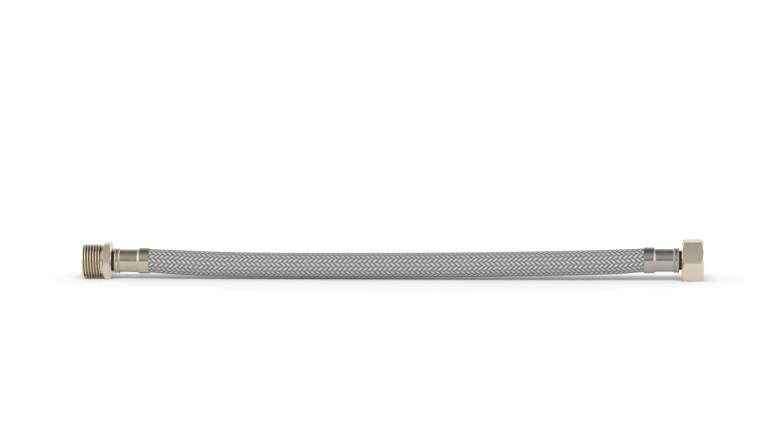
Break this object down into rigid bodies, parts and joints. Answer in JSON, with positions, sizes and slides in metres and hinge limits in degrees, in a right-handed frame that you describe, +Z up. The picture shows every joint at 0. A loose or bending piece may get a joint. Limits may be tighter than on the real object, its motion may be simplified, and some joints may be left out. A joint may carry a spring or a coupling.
{
  "type": "braided flexible hose",
  "caption": "Short flexible water hose in a wire braid, crimped to a male threaded fitting at one end and a swivelling union nut at the other.",
  "frame": {"origin": "on the surface that the hose lies on, at mid-length, under the line through the two fittings", "axes": "+X from the male end to the union nut, +Z up"},
  "size_m": [0.3, 0.022, 0.019],
  "materials": {
    "nickel_plated_brass": "satin nickel plate",
    "crimped_stainless": "bright rolled sheet",
    "braid_wire": "bright drawn wire",
    "tube_rubber": "matt",
    "gasket_rubber": "matt"
  },
  "bodies": {
    "hose": {"male_fitting": "nickel_plated_brass", "male_ferrule": "crimped_stainless", "inner_tube": "tube_rubber", "wire_braid": "braid_wire", "nut_ferrule": "crimped_stainless", "nut_tail": "nickel_plated_brass"},
    "nut": {"union_nut": "nickel_plated_brass", "nut_gasket": "gasket_rubber"}
  },
  "joints": [
    {"name": "nut_spin", "type": "hinge", "parent": "hose", "child": "nut", "pos_m": [0.145, 0, 0.0095], "axis": [1, 0, 0], "continuous": true}
  ]
}
